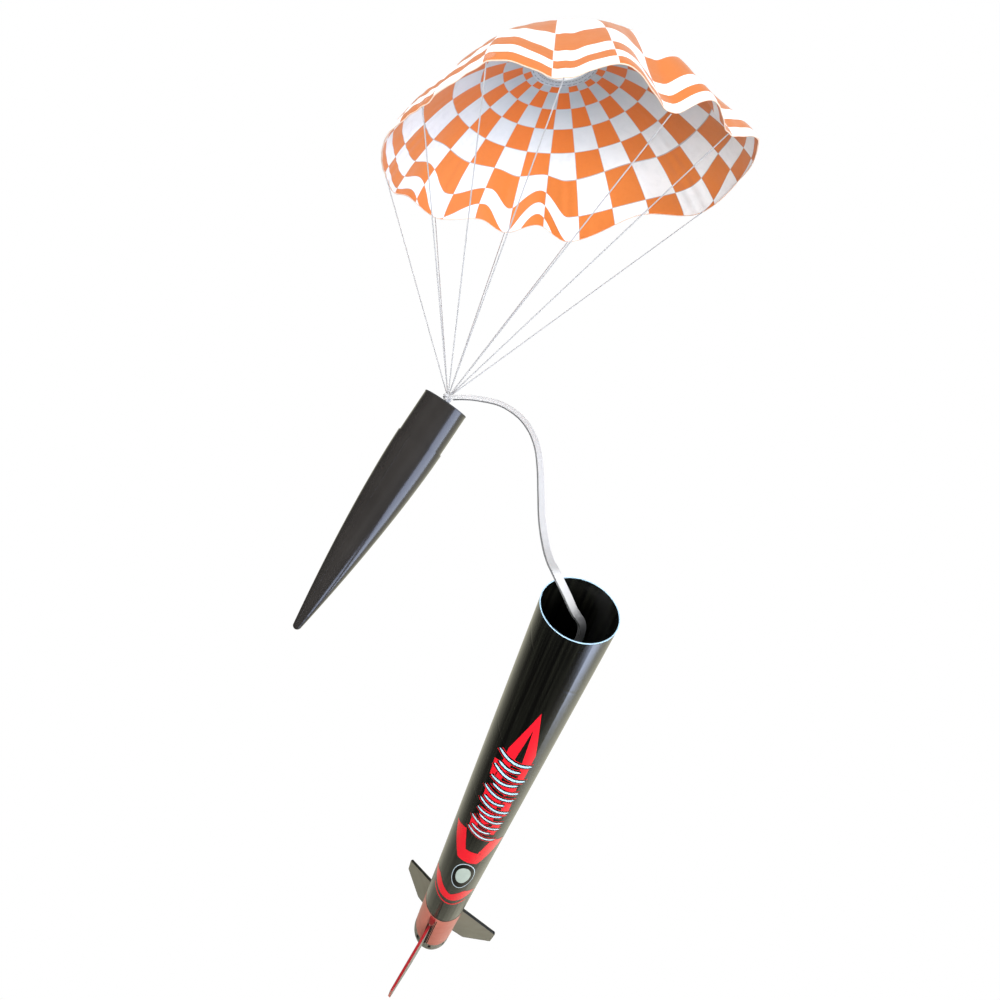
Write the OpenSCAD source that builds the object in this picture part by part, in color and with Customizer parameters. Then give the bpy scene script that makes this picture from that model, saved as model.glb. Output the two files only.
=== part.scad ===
// Model rocket coming down under its canopy: round canopy and shroud lines, a knot that holds
// the nose cone by its eyelet, and a flat elastic shock cord to the open body tube.
// Millimetres, +Z up, origin at the middle of the canopy's crown.
// "s" is a distance along the airframe from the tube's mouth towards the tail.

/* [Canopy] */
// Radius of the skirt when the canopy is full
canopy_r = 96; // [90:1:102]
// Height of the crown above the skirt
canopy_h = 57; // [50:1:62]
// Thickness of the canopy's solid
canopy_t = 1.2; // [1:0.1:2]
// Radius of the spill hole
spill_r = 13.5; // [12:0.5:16]
// Width of the reinforcing ring round the spill hole
spill_ring_w = 4.5; // [3:0.5:6]
// How far the near side of the canopy is tipped down, degrees
canopy_tilt = 7; // [0:1:9]
// Share of an ellipse in the canopy's profile, the rest being a parabola
canopy_round = 0.15; // [0:0.05:0.5]

// Depth of the waves in the skirt, as a share of the ones the canopy hangs with
wave_share = 1; // [0:0.1:1]

/* [Shroud lines] */
// Diameter of a shroud line
line_d = 0.6; // [0.5:0.1:1]
// Radius of the tab that bonds each line to the skirt
tab_r = 4; // [3:0.5:5]

/* [Nose cone] */
// Length from the shoulder's step to the tip
nose_len = 112; // [100:1:120]
// Length of the shoulder that slides into the tube
shoulder_len = 23; // [18:1:26]
// Wall of the moulded nose cone
nose_wall = 1.2; // [1:0.1:1.5]
// Bulge of the nose cone's profile
nose_power = 1.62; // [1.4:0.02:2.4]
// How far the nose cone hangs out of the vertical, degrees
nose_hang = 33.8; // [25:0.1:40]

/* [Airframe] */
// Outside diameter of the body tube
tube_od = 24.8; // [24.6:0.1:25]
// Inside diameter of the body tube
tube_id = 24.1; // [23.9:0.1:24.2]
// Whole length from the tube's mouth to the tail face
airframe_len = 355; // [345:1:365]
// Length of the paper body tube
tube_len = 286; // [280:1:290]
// Tilt of the airframe from the vertical, degrees
tube_tilt = 42.2; // [38:0.1:46]
// Heading of the tube's mouth, degrees from +X
tube_heading = -72.75; // [-80:0.25:-65]

/* [Motor mount] */
// Inside diameter of the motor tube
motor_id = 18.1; // [18:0.05:18.3]
// Wall of the motor tube
motor_wall = 0.35; // [0.3:0.05:0.5]
// Length of the motor tube, from the thrust ring to the tail
motor_bay_len = 66; // [60:1:68]

/* [Fins] */
// Thickness of a fin
fin_t = 1.6; // [1.2:0.1:2.4]
// Distance from the axis to a fin's tip
fin_span = 43; // [40:1:46]
// Direction of the front fin round the airframe, degrees
fin_start = -46.6; // [-60:0.1:-30]

/* [Launch lug] */
// Inside diameter of the launch lug
lug_id = 4; // [3.6:0.1:4.4]
// Length of the launch lug
lug_len = 50; // [40:1:60]

/* [Shock cord] */
// Width of the flat elastic
cord_w = 2.8; // [2.5:0.1:4]
// Thickness of the flat elastic
cord_t = 0.9; // [0.7:0.1:1.2]

/* [Hidden] */
$fn = 96;

eps = 0.01;
tube_r = tube_od / 2;
tube_ir = tube_id / 2;

// Directions of the shroud lines round the skirt, degrees from +X
line_angles = [25, 82, 109, 142, 181, 226, 247, 264, 294, 318];

// Waves of the skirt: [direction, millimetres outwards, millimetres towards the hem]
skirt = [[0, 1, 0], [25, 0, 4], [52, 3, -6], [82, 0, 4], [95, 4, -6], [109, 0, -1], [120, 3, -6],
    [142, 0, 0], [158, 2, -3], [172, -1, 1], [181, -1, 0], [205, 1, 0], [226, 0, 0], [236, 3, 0],
    [248, 6, 0], [264, -3, 0], [277, 1, 0], [294, -12, 0], [304, -3, 0], [318, -9, 0],
    [336, 0, 0], [360, 1, 0]];
wave_from = 55;
// Swell of the film on the near side
swell = 3.2;
swell_at = [265, 62];
swell_spread = [45, 22];

// Places of the hanging pieces
nose_base_pos = [-61, -15.5, -182];
knot_pos = [-60, -15.5, -179];
mouth_pos = [-10.1, -131.1, -262.6];

// Knot and eyelet
knot_r = 2.4;
gap = 0.3;
bar_r = 0.7;
bar_len = 7;
bar_drop = 0.3;
loop_r = 1.55;
loop_wire_r = 0.55;

// Nose cone
shoulder_r = tube_ir - 0.15;
base_recess = 3;
base_t = 2;
tip_r = 2.2;

// Motor mount and fin can
motor_ir = motor_id / 2;
motor_or = motor_ir + motor_wall;
motor_tube_end = 351.6;
thrust_wall = 1.5;
thrust_len = 5;
can_ir = 10.9;
can_end = 343;
can_bulkhead = 7;
can_shoulder = 18;
spigot_len = 8.6;
ring_t = 4;
front_ring_s = 290;
rear_ring_s = 331;

// Lock ring at the tail
lock_gap = 0.4;
lock_clearance = 0.05;
lock_end_wall = 3;
lock_hole_r = motor_ir + 0.25;
grip_count = 8;
grip_r = 0.9;
grip_depth = 0.9;
grip_s = 345.4;
grip_len = 4.6;

// Fin outline, [s, distance from the axis], from the front of the root round to the back
fin_root_front = 304;
fin_root_back = 342;
fin_outline = [[fin_root_front, tube_r], [349, fin_span], [367, fin_span], [365, 23],
    [351, tube_r + 0.5], [fin_root_back + 0.5, tube_r + 0.5], [fin_root_back + 0.5, tube_r],
    [fin_root_back, tube_r], [fin_root_back, motor_or + 0.1], [fin_root_back - 4, motor_or + 0.1],
    [fin_root_back - 4, can_ir], [fin_root_front + 4, can_ir], [fin_root_front + 4, tube_r]];

// Launch lug, on the side away from the front fin
lug_wall = 0.4;
lug_s = 190;
lug_web = 1.6;

// Paper patch that anchors the shock cord inside the tube
anchor_s = 40;
anchor_len = 32;
anchor_t = 1.2;
anchor_mid = 120;
anchor_arc = 50;

// Route of the shock cord, from the knot to the anchor
cord_route = [[-57.2, -15.5, -179], [-51, -17.5, -179.3], [-44.2, -20.5, -180.5],
    [-34, -27.5, -184], [-25.8, -36.5, -190.5], [-20.7, -46.5, -198.5], [-18.2, -57.5, -207.5],
    [-17.8, -69.5, -217.5], [-18.3, -81.5, -228], [-18.8, -93.5, -237], [-18.4, -104.5, -245],
    [-17.8, -115.5, -249.5], [-16.9, -124.5, -252], [-15.5, -126, -255], [-13, -123.5, -260],
    [-10.7, -121.5, -265], [-7.6, -117, -270], [-7.3, -111, -275.5], [-9.3, -104.5, -283],
    [-10.9, -99.4, -288.7]];
cord_sides = 8;

// ---------- shared functions ----------

// Height of the canopy's surface at radius r, below the crown of a canopy of radius cr, height ch
function canopy_z(r, cr, ch) =
    -ch * (canopy_round * (1 - sqrt(max(0, 1 - pow(r / cr, 2)))) + (1 - canopy_round) * pow(r / cr, 2));

// Points of a meridian between radii a and b, closer together where it is steep
function meridian(a, b, cr, ch, drop, steps = 28) =
    [for (i = [0:steps])
        let (u = asin(a / cr) + (asin(b / cr) - asin(a / cr)) * i / steps, r = cr * sin(u))
        [r, canopy_z(r, cr, ch) - drop]];

function reversed(list) = [for (i = [len(list) - 1:-1:0]) list[i]];
function unit(v) = v / norm(v);

function ease(t) = t * t * (3 - 2 * t);

// A point of the canopy's own axes, tipped as the canopy is
function tipped(p) = [p[0], p[1] * cos(canopy_tilt) - p[2] * sin(canopy_tilt),
    p[1] * sin(canopy_tilt) + p[2] * cos(canopy_tilt)];

// Wave of the skirt in direction a: column 1 is outwards, column 2 towards the hem
function wave(a, column) =
    let (i = [for (j = [0:len(skirt) - 2]) if (skirt[j][0] <= a && a <= skirt[j + 1][0]) j][0],
        t = (a - skirt[i][0]) / (skirt[i + 1][0] - skirt[i][0]))
    wave_share * (skirt[i][column] + (skirt[i + 1][column] - skirt[i][column]) * ease(t));

// Point of the film in direction a at radius r of the plain dome, at a depth inside its outer face
function film(a, r, depth) =
    let (u = min(r / canopy_r, 0.95),
        slope = -canopy_h / canopy_r
            * (canopy_round * u / sqrt(1 - u * u) + 2 * (1 - canopy_round) * u),
        along = unit([1, slope]),
        share = ease(max(0, (r - wave_from) / (canopy_r - wave_from))),
        out = wave(a, 1) * share - depth + swell
            * exp(-pow((a - swell_at[0]) / swell_spread[0], 2) - pow((r - swell_at[1]) / swell_spread[1], 2)),
        down = wave(a, 2) * share,
        rr = r - along[1] * out + along[0] * down,
        z = canopy_z(r, canopy_r, canopy_h) + along[0] * out + along[1] * down)
    tipped([rr * cos(a), rr * sin(a), z]);

// Where line i meets the skirt, in the middle of the film
function skirt_point(i) = film(line_angles[i], canopy_r, canopy_t / 2);

// Smooth curve through a list of points
function spline(p0, p1, p2, p3, t) =
    0.5 * (2 * p1 + (p2 - p0) * t + (2 * p0 - 5 * p1 + 4 * p2 - p3) * t * t
        + (3 * p1 - p0 - 3 * p2 + p3) * t * t * t);
function smooth(route, steps) =
    let (n = len(route) - 1)
    concat([for (i = [0:n - 1], k = [0:steps - 1])
        spline(route[max(0, i - 1)], route[i], route[i + 1], route[min(n, i + 2)], k / steps)],
        [route[n]]);

function tangent(path, i) = unit(path[min(len(path) - 1, i + 1)] - path[max(0, i - 1)]);

// One ring of a swept cord, w wide across the line of sight and t thick
function cord_ring(p, dir, w, t, sides) =
    let (across = unit(cross(dir, [0, 1, 0])), out = cross(across, dir))
    [for (k = [0:sides - 1])
        let (a = 360 * (k + 0.5) / sides)
        p + across * (w / 2 * cos(a) / cos(180 / sides)) + out * (t / 2 * sin(a) / cos(180 / sides))];

module sweep(path, w, t, sides) {
    rings = [for (i = [0:len(path) - 1]) cord_ring(path[i], tangent(path, i), w, t, sides)];
    n = len(path);
    polyhedron(
        points = [for (ring = rings) each ring],
        faces = concat(
            [[for (k = [0:sides - 1]) k]],
            [[for (k = [sides - 1:-1:0]) (n - 1) * sides + k]],
            [for (i = [0:n - 2], k = [0:sides - 1])
                [i * sides + k, (i + 1) * sides + k, (i + 1) * sides + (k + 1) % sides,
                    i * sides + (k + 1) % sides]]),
        convexity = 6);
}

// ---------- placing ----------

module in_canopy() {
    rotate([canopy_tilt, 0, 0]) children();
}

// Own axes of the nose cone: +Z out of the shoulder's open end, tip towards -Z
module in_nose() {
    translate(nose_base_pos) rotate([0, nose_hang, 0]) children();
}

// Own axes of the airframe: +Z out of the mouth, so s is measured along -Z
module in_airframe() {
    translate(mouth_pos) rotate([0, tube_tilt, tube_heading]) children();
}

// A plain tube from s1 to s2
module tube_piece(s1, s2, outer, inner) {
    translate([0, 0, -s2]) difference() {
        cylinder(r = outer, h = s2 - s1);
        translate([0, 0, -1]) cylinder(r = inner, h = s2 - s1 + 2);
    }
}

// ---------- recovery set ----------

module canopy() {
    around = 60;
    rows = 9;
    radii = [for (k = [0:rows]) canopy_r * sin(asin(spill_r / canopy_r)
        + (90 - asin(spill_r / canopy_r)) * k / rows)];
    points = [for (depth = [0, canopy_t], k = [0:rows], j = [0:around - 1])
        film(360 * j / around, radii[k], depth)];
    layer = (rows + 1) * around;
    color("darkorange") polyhedron(
        points = points,
        faces = concat(
            [for (k = [0:rows - 1], j = [0:around - 1])
                let (b = k * around, n = (j + 1) % around)
                [b + j, b + n, b + around + n, b + around + j]],
            [for (k = [0:rows - 1], j = [0:around - 1])
                let (b = layer + k * around, n = (j + 1) % around)
                [b + j, b + around + j, b + around + n, b + n]],
            [for (j = [0:around - 1])
                let (n = (j + 1) % around)
                [j, layer + j, layer + n, n]],
            [for (j = [0:around - 1])
                let (b = rows * around, n = (j + 1) % around)
                [b + j, b + n, b + layer + n, b + layer + j]]),
        convexity = 6);
}

module spill_ring() {
    print_t = 0.4;
    under = meridian(spill_r, spill_r + spill_ring_w, canopy_r, canopy_h, canopy_t + 0.05, 4);
    color("lightgray") in_canopy() rotate_extrude()
        polygon(concat(under, [for (p = reversed(under)) [p[0], p[1] - print_t]]));
}

// Round tabs on the outside of the skirt, one over the end of each line
module line_tabs() {
    tab_t = 0.4;
    color("white") for (a = line_angles) {
        middle = film(a, canopy_r - 1.5, 0.3);
        out = unit(film(a, canopy_r - 1.5, 0) - film(a, canopy_r - 1.5, 1));
        lift = unit(film(a, canopy_r - 3, 0) - film(a, canopy_r, 0)) * (tab_r - 1);
        translate(middle + lift) rotate([0, acos(out[2]), atan2(out[1], out[0])])
            cylinder(r = tab_r, h = tab_t, $fn = 32);
    }
}

module shroud_line(i) {
    top = skirt_point(i) - [0, 0, gap / 2];
    dir = unit(top - knot_pos);
    bottom = knot_pos + dir * (knot_r + gap);
    color("gainsboro") sweep([top, (top + bottom) / 2, bottom], line_d, line_d, cord_sides);
}

// The lines, the shock cord and the eyelet's loop are tied together here
module knot() {
    color("white") translate(knot_pos) {
        sphere(r = knot_r);
        rotate([70, 20, 0]) rotate_extrude() translate([knot_r - 0.6, 0]) circle(r = 0.7, $fn = 32);
    }
}

module cord_loop() {
    color("white") in_nose() translate([0, 0, -bar_drop]) rotate([90, 0, 0])
        rotate_extrude() translate([loop_r, 0]) circle(r = loop_wire_r, $fn = 32);
}

module shock_cord() {
    color("whitesmoke") sweep(smooth(cord_route, 2), cord_w, cord_t, cord_sides);
}

// ---------- nose cone ----------

// Radius at a distance d behind the step, for a cone of length l that narrows from r to tip
function nose_r(d, l, r, tip) = tip + (r - tip) * (1 - pow(d / l, nose_power));

module nose_cone() {
    steps = 30;
    last = nose_len - tip_r;
    in_len = nose_len - 8;
    outer = [for (i = [0:steps])
        let (d = last * i / steps) [nose_r(d, last, tube_r, tip_r), -shoulder_len - d]];
    inner = [for (i = [0:steps])
        let (d = (in_len - 1) * i / steps)
        [nose_r(d, in_len, tube_r - nose_wall, 1), -shoulder_len - d]];
    color("#2a2a2c") in_nose() rotate_extrude()
        polygon(concat(
            [[shoulder_r, 0], [shoulder_r, -shoulder_len]],
            outer,
            [for (a = [15:15:75]) [tip_r * cos(a), -shoulder_len - last - tip_r * sin(a)]],
            [[0, -shoulder_len - nose_len], [0, -shoulder_len - in_len]],
            reversed(inner),
            [[shoulder_r - nose_wall, -shoulder_len], [shoulder_r - nose_wall, 0]]));
}

// Plug that closes the shoulder, with the eyelet's posts and bar
module nose_base() {
    post_w = 2;
    color("#333336") in_nose() {
        difference() {
            translate([0, 0, -base_recess - base_t])
                cylinder(r = shoulder_r - nose_wall, h = base_t);
            for (x = [-1, 1])
                translate([6.5 * x, 0, -base_recess - base_t - 1]) cylinder(r = 1.2, h = base_t + 2);
        }
        for (y = [-1, 1])
            translate([-bar_r, y * (bar_len - post_w) / 2 - post_w / 2, -base_recess - eps])
                cube([2 * bar_r, post_w, base_recess - bar_drop + eps]);
        translate([0, bar_len / 2, -bar_drop]) rotate([90, 0, 0]) cylinder(r = bar_r, h = bar_len);
    }
}

// ---------- airframe ----------

module body_tube() {
    color("#1b1b1d") in_airframe() tube_piece(0, tube_len, tube_r, tube_ir);
}

module cord_anchor() {
    color("beige") in_airframe() translate([0, 0, -anchor_s - anchor_len])
        rotate([0, 0, anchor_mid - anchor_arc / 2]) rotate_extrude(angle = anchor_arc)
            translate([tube_ir - anchor_t, 0]) square([anchor_t, anchor_len]);
}

module front_centering_ring() {
    color("tan") in_airframe() tube_piece(front_ring_s, front_ring_s + ring_t, can_ir, motor_or);
}

module rear_centering_ring() {
    color("tan") in_airframe() tube_piece(rear_ring_s, rear_ring_s + ring_t, can_ir, motor_or);
}

module motor_tube() {
    color("burlywood") in_airframe()
        tube_piece(motor_tube_end - motor_bay_len, motor_tube_end, motor_or, motor_ir);
}

// Stops the motor at the front end of the motor tube
module thrust_ring() {
    back = motor_tube_end - motor_bay_len;
    color("olivedrab") in_airframe()
        tube_piece(back - thrust_len, back, motor_or, motor_ir - thrust_wall);
}

// Flat fin blank lying in the plane of the axis, thickened both ways
module fin_blank() {
    rotate([90, 0, 0]) translate([0, 0, -fin_t / 2]) linear_extrude(height = fin_t)
        polygon([for (p = fin_outline) [p[1], -p[0]]]);
}

module fin_can() {
    slot_len = fin_root_back - fin_root_front - 4;
    color("#c8503c") in_airframe() difference() {
        union() {
            tube_piece(tube_len - can_shoulder, tube_len + eps, tube_ir, can_ir);
            tube_piece(tube_len, can_end - can_bulkhead + eps, tube_r, can_ir);
            tube_piece(can_end - can_bulkhead, can_end, tube_r, motor_or);
            tube_piece(can_end - eps, can_end + spigot_len, can_ir, motor_or);
        }
        for (i = [0:2])
            rotate([0, 0, fin_start + 120 * i])
                translate([motor_or + 0.1, -fin_t / 2, -fin_root_back])
                    cube([tube_r, fin_t, slot_len]);
    }
}

module fin(i) {
    color(i == 0 ? "#8c1c1c" : "#26261f") in_airframe() rotate([0, 0, fin_start + 120 * i]) fin_blank();
}

// Guide for the launch rod, with a web that fits the tube
module launch_lug() {
    lug_r = lug_id / 2 + lug_wall;
    axis_r = tube_r + lug_r;
    color("#202022") in_airframe() rotate([0, 0, fin_start + 180]) translate([0, 0, -lug_s - lug_len])
        difference() {
            union() {
                translate([axis_r, 0, 0]) cylinder(r = lug_r, h = lug_len);
                translate([tube_r - 1, -lug_web / 2, 0]) cube([1.6, lug_web, lug_len]);
            }
            translate([axis_r, 0, -1]) cylinder(r = lug_id / 2, h = lug_len + 2);
            translate([0, 0, -1]) cylinder(r = tube_r, h = lug_len + 2);
        }
}

// Ring that turns on the fin can's spigot and keeps the fins' tabs in their slots
module lock_ring() {
    color("#8a8a80") in_airframe() difference() {
        union() {
            tube_piece(can_end + lock_gap, airframe_len - lock_end_wall, tube_r, can_ir + lock_clearance);
            tube_piece(airframe_len - lock_end_wall - eps, airframe_len, tube_r, lock_hole_r);
        }
        for (k = [0:grip_count - 1])
            rotate([0, 0, 360 * (k + 0.5) / grip_count]) translate([tube_r - grip_depth, 0, 0]) {
                for (s = [grip_s, grip_s + grip_len])
                    translate([0, 0, -s]) rotate([0, 90, 0]) cylinder(r = grip_r, h = 2 * grip_depth, $fn = 24);
                translate([0, -grip_r, -grip_s - grip_len]) cube([2 * grip_depth, 2 * grip_r, grip_len]);
            }
    }
}

canopy();
spill_ring();
line_tabs();
shroud_line(0);  // shroud_line_01
shroud_line(1);  // shroud_line_02
shroud_line(2);  // shroud_line_03
shroud_line(3);  // shroud_line_04
shroud_line(4);  // shroud_line_05
shroud_line(5);  // shroud_line_06
shroud_line(6);  // shroud_line_07
shroud_line(7);  // shroud_line_08
shroud_line(8);  // shroud_line_09
shroud_line(9);  // shroud_line_10
knot();
cord_loop();
shock_cord();
nose_cone();
nose_base();
body_tube();
cord_anchor();
front_centering_ring();
rear_centering_ring();
motor_tube();
thrust_ring();
fin_can();
fin(0);  // fin_front
fin(1);  // fin_right
fin(2);  // fin_left
launch_lug();
lock_ring();
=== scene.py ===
import math
import bmesh
import bpy
from mathutils import Matrix, Vector, noise


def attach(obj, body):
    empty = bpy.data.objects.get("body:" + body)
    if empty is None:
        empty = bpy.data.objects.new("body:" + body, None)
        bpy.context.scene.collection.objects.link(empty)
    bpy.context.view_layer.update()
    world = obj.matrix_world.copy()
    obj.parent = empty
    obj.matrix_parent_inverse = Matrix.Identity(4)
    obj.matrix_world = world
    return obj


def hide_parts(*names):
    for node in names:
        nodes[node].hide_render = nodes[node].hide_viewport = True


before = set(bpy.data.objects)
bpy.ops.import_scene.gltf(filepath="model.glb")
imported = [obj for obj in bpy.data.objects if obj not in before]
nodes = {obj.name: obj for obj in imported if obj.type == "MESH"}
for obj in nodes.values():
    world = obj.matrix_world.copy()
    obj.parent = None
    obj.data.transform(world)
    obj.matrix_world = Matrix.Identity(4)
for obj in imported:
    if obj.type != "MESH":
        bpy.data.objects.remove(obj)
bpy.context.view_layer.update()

MM = 0.001


def ease(t):
    t = max(0.0, min(1.0, t))
    return t * t * (3 - 2 * t)


# ---------- camera ----------

cam_data = bpy.data.cameras.new("camera")
cam_data.lens = 20.88
cam_data.sensor_width = 36
cam_data.clip_start = 0.01
camera = bpy.data.objects.new("camera", cam_data)
camera.location = (-0.034, -0.3045, -0.230)
camera.rotation_euler = (math.radians(90), 0, 0)
bpy.context.scene.collection.objects.link(camera)
bpy.context.scene.camera = camera
bpy.context.scene.view_settings.view_transform = "Standard"


# ---------- the places of the CAD model, in millimetres ----------

CANOPY_R, CANOPY_H, CANOPY_T, SPILL_R = 96, 57, 1.2, 13.5
TILT = math.radians(7)
# share of the dome's profile that is a circle's; the rest is a parabola's
ROUND = 0.15
# the film's slope is held from this share of the radius to the hem
STEEPEST = 0.95
# dome radius where the skirt's waves begin
WAVE_FROM = 55
# the fuller near side: how far out, at which direction and radius, and how wide round and along
SWELL, SWELL_ANGLE, SWELL_R, SWELL_AROUND, SWELL_ALONG = 3.2, 265, 62, 45, 22
KNOT = Vector((-60, -15.5, -179))
LINE_ANGLES = [25, 82, 109, 142, 181, 226, 247, 264, 294, 318]
# direction, outwards, towards the hem, rows of cells between the crown and the hem
SKIRT = [(0, 1, 0, 7.5), (25, 0, 4, 7), (52, 3, -6, 6.4), (82, 0, 4, 7), (95, 4, -6, 9), (109, 0, -1, 7),
         (120, 3, -6, 8), (142, 0, 0, 7), (158, 2, -3, 8.5), (172, -1, 1, 8), (181, -1, 0, 8),
         (205, 1, 0, 8.5), (226, 0, 0, 8.5), (236, 3, 0, 9), (248, 6, 0, 9), (264, -3, 0, 9),
         (277, 1, 0, 9), (294, -12, 0, 8), (304, -3, 0, 7.5), (318, -9, 0, 7.5), (336, 0, 0, 7),
         (360, 1, 0, 7.5)]
NOSE = Matrix.Translation((-0.061, -0.0155, -0.182)) @ Matrix.Rotation(math.radians(33.8), 4, "Y")
AIRFRAME = (Matrix.Translation((-0.0101, -0.1311, -0.2626))
            @ Matrix.Rotation(math.radians(-72.75), 4, "Z") @ Matrix.Rotation(math.radians(42.2), 4, "Y"))
TUBE_R = 12.4


def on_tube(angle, s, lift=0.0, radius=TUBE_R):
    """A point of the airframe, s millimetres behind its mouth, angle in degrees round it."""
    a = math.radians(angle)
    r = radius + lift
    return AIRFRAME @ (Vector((r * math.cos(a), r * math.sin(a), -s)) * MM)


def on_nose(angle, r, z):
    """A point of the nose cone, z millimetres above its eyelet, angle in degrees round it."""
    t = math.radians(angle)
    return NOSE @ (Vector((r * math.cos(t), r * math.sin(t), z)) * MM)


def wave(a, column):
    """A column of SKIRT in direction a (degrees), eased from row to row."""
    a %= 360
    for p, q in zip(SKIRT, SKIRT[1:]):
        if p[0] <= a <= q[0]:
            return p[column] + (q[column] - p[column]) * ease((a - p[0]) / (q[0] - p[0]))


def dome(r):
    """Height of the plain dome at radius r."""
    u = min(1.0, r / CANOPY_R)
    return -CANOPY_H * (ROUND * (1 - math.sqrt(max(0, 1 - u * u))) + (1 - ROUND) * u * u)


def film(a, r, out=0.0):
    """Point of the canopy in direction a (degrees) at dome radius r, out millimetres outside its face."""
    u = min(r / CANOPY_R, STEEPEST)
    slope = -CANOPY_H / CANOPY_R * (ROUND * u / math.sqrt(1 - u * u) + 2 * (1 - ROUND) * u)
    along = Vector((1, slope)).normalized()
    share = ease((r - WAVE_FROM) / (CANOPY_R - WAVE_FROM))
    swell = SWELL * math.exp(-((a - SWELL_ANGLE) / SWELL_AROUND) ** 2 - ((r - SWELL_R) / SWELL_ALONG) ** 2)
    off = wave(a, 1) * share + out + swell
    down = wave(a, 2) * share
    rr = r - along[1] * off + along[0] * down
    z = dome(r) + along[0] * off + along[1] * down
    t = math.radians(a)
    x, y = rr * math.cos(t), rr * math.sin(t)
    return Vector((x, y * math.cos(TILT) - z * math.sin(TILT), y * math.sin(TILT) + z * math.cos(TILT))) * MM


# ---------- materials ----------

SOCKETS = {"color": "Base Color", "rough": "Roughness", "spec": "Specular IOR Level", "normal": "Normal",
           "coat": "Coat Weight", "coat_rough": "Coat Roughness", "sheen": "Sheen Weight",
           "sheen_rough": "Sheen Roughness", "alpha": "Alpha"}


class Nodes:
    """Short names for making a node tree."""

    def __init__(self, name):
        self.material = bpy.data.materials.new(name)
        self.material.use_nodes = True
        self.tree = self.material.node_tree
        self.shader = self.tree.nodes["Principled BSDF"]
        self.output = self.tree.nodes["Material Output"]

    def add(self, kind, **values):
        node = self.tree.nodes.new(kind)
        for key, value in values.items():
            setattr(node, key, value)
        return node

    def link(self, a, b):
        self.tree.links.new(a, b)

    def put(self, socket, value):
        if isinstance(value, bpy.types.NodeSocket):
            self.link(value, socket)
        else:
            socket.default_value = value

    def math(self, op, a, b=0.0, c=0.0):
        node = self.add("ShaderNodeMath", operation=op)
        for socket, value in zip(node.inputs, (a, b, c)):
            self.put(socket, value)
        return node.outputs[0]

    def mix(self, factor, a, b):
        node = self.add("ShaderNodeMix", data_type="RGBA")
        for socket, value in ((node.inputs[0], factor), (node.inputs[6], a), (node.inputs[7], b)):
            self.put(socket, value)
        return node.outputs[2]

    def noise(self, scale, detail=3.0, rough=0.5, vector=None, distortion=0.0):
        node = self.add("ShaderNodeTexNoise")
        node.inputs["Scale"].default_value = scale
        node.inputs["Detail"].default_value = detail
        node.inputs["Roughness"].default_value = rough
        node.inputs["Distortion"].default_value = distortion
        self.link(vector or self.coords(), node.inputs["Vector"])
        return node.outputs["Fac"]

    def coords(self, which="Object"):
        return self.add("ShaderNodeTexCoord").outputs[which]

    def range(self, value, a, b, lo=0.0, hi=1.0):
        """The value stretched from lo..hi to a..b."""
        node = self.add("ShaderNodeMapRange")
        for socket, number in zip(node.inputs[1:5], (lo, hi, a, b)):
            socket.default_value = number
        self.link(value, node.inputs[0])
        return node.outputs[0]

    def bump(self, height, strength, distance, onto=None):
        node = self.add("ShaderNodeBump")
        node.inputs["Strength"].default_value = strength
        node.inputs["Distance"].default_value = distance
        self.link(height, node.inputs["Height"])
        if onto is not None:
            self.link(onto, node.inputs["Normal"])
        return node.outputs[0]

    def finish(self, **sockets):
        for key, value in sockets.items():
            self.put(self.shader.inputs[SOCKETS[key]], value)
        return self.material


def rgb(r, g, b):
    return (r, g, b, 1.0)


def tones(color, share):
    """The colour a share darker and a share lighter."""
    return (tuple(min(1, c * (1 - share)) for c in color[:3]) + (1,),
            tuple(min(1, c * (1 + share)) for c in color[:3]) + (1,))


def moulded(name, color, rough, share=0.12, grain=900, bump=0.12, **more):
    """A moulded or painted surface: mottled colour, uneven gloss and a fine grain."""
    n = Nodes(name)
    dark, light = tones(color, share)
    blotch = n.noise(60, 4, 0.6)
    fine = n.noise(grain, 2, 0.5)
    col = n.mix(blotch, dark, light)
    rough_out = n.range(n.noise(140, 3), rough * 0.8, min(1, rough * 1.25))
    normal = n.bump(fine, bump, 0.00005, n.bump(blotch, 0.08, 0.0004))
    return n.finish(color=col, rough=rough_out, normal=normal, **more)


def paper(name, color, fibre=1500):
    """Card or kraft paper: long fibres and small flecks."""
    n = Nodes(name)
    dark, light = tones(color, 0.25)
    mapping = n.add("ShaderNodeMapping")
    mapping.inputs["Scale"].default_value = (1, 1, 6)
    n.link(n.coords(), mapping.inputs["Vector"])
    long_fibre = n.noise(fibre * 0.2, 6, 0.65, mapping.outputs[0], 0.4)
    fleck = n.noise(fibre, 2)
    col = n.mix(n.range(long_fibre, 0, 1, 0.3, 0.7), dark, light)
    return n.finish(color=col, rough=n.range(fleck, 0.75, 0.95), normal=n.bump(fleck, 0.35, 0.0001))


def printed(name, color, share=0.08, rough=0.22):
    """Ink or foil printed on the wrap, under its gloss."""
    n = Nodes(name)
    dark, light = tones(color, share)
    grain = n.noise(1800, 2)
    return n.finish(color=n.mix(n.noise(90, 3), dark, light), rough=n.range(grain, rough * 0.85, rough * 1.2),
                    normal=n.bump(grain, 0.05, 0.00003), spec=0.3)


tube_axis = bpy.data.objects.new("airframe_axis", None)
bpy.context.scene.collection.objects.link(tube_axis)
tube_axis.matrix_world = AIRFRAME
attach(tube_axis, "airframe")


def around_tube(n):
    """Turns round the tube and metres along it, as sockets."""
    coords = n.add("ShaderNodeTexCoord", object=tube_axis)
    xyz = n.add("ShaderNodeSeparateXYZ")
    n.link(coords.outputs["Object"], xyz.inputs[0])
    turn = n.math("DIVIDE", n.math("ARCTAN2", xyz.outputs[1], xyz.outputs[0]), 2 * math.pi)
    return turn, xyz.outputs[2]


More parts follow.
